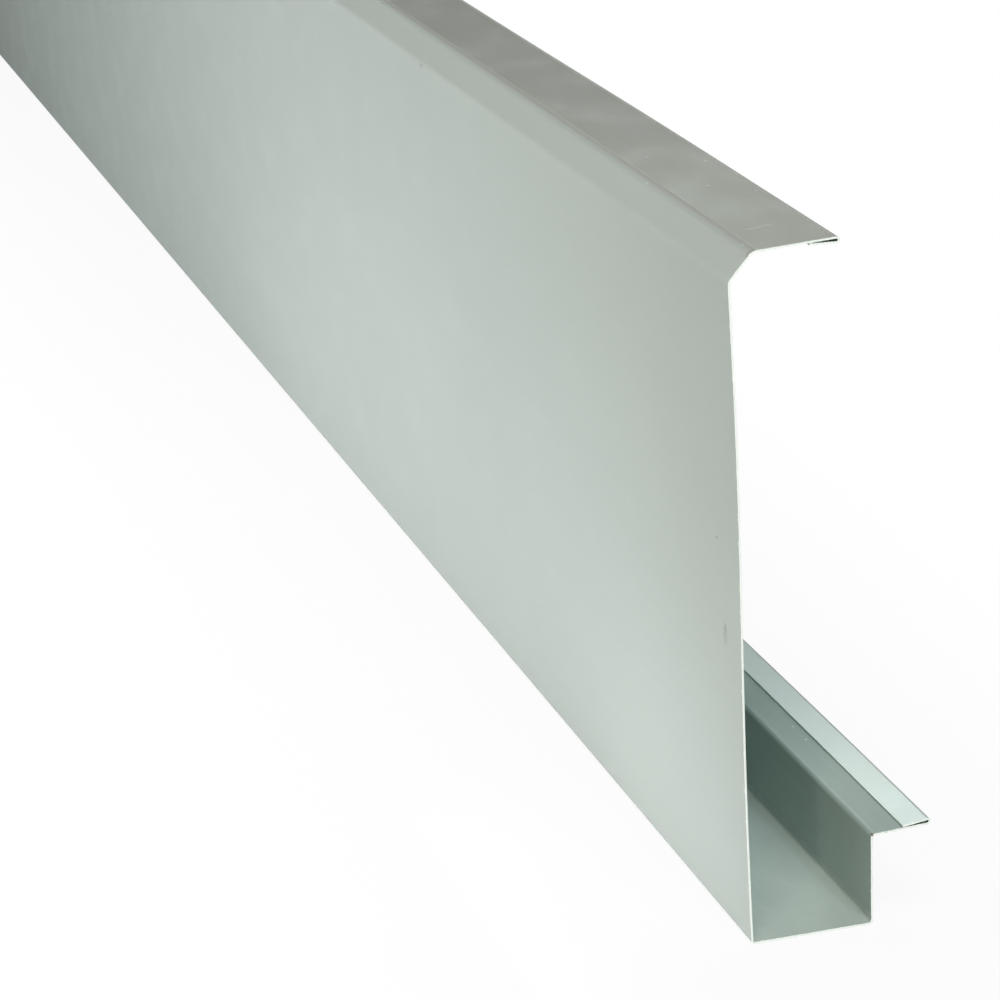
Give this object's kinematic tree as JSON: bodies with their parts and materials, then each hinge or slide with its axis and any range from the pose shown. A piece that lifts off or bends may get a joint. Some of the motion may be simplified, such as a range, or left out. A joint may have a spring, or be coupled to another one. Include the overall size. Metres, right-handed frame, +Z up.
{
  "type": "drip edge",
  "caption": "Folded sheet-metal roof drip edge: tall face, kicked-back top with a narrow hemmed flange, and a channel foot with a hemmed back flange.",
  "frame": {"origin": "centre of the footprint of the bounding box, on the level that the bottom stands on", "axes": "+X along the length, +Y from the tall face towards the back flange, +Z up as the trim stands on its bottom"},
  "size_m": [2, 0.075, 0.2619],
  "materials": {
    "painted_steel": "satin light grey paint, with a duller grey-green backing coat on the hidden side"
  },
  "bodies": {
    "root": {"drip_edge": "painted_steel"}
  },
  "joints": []
}
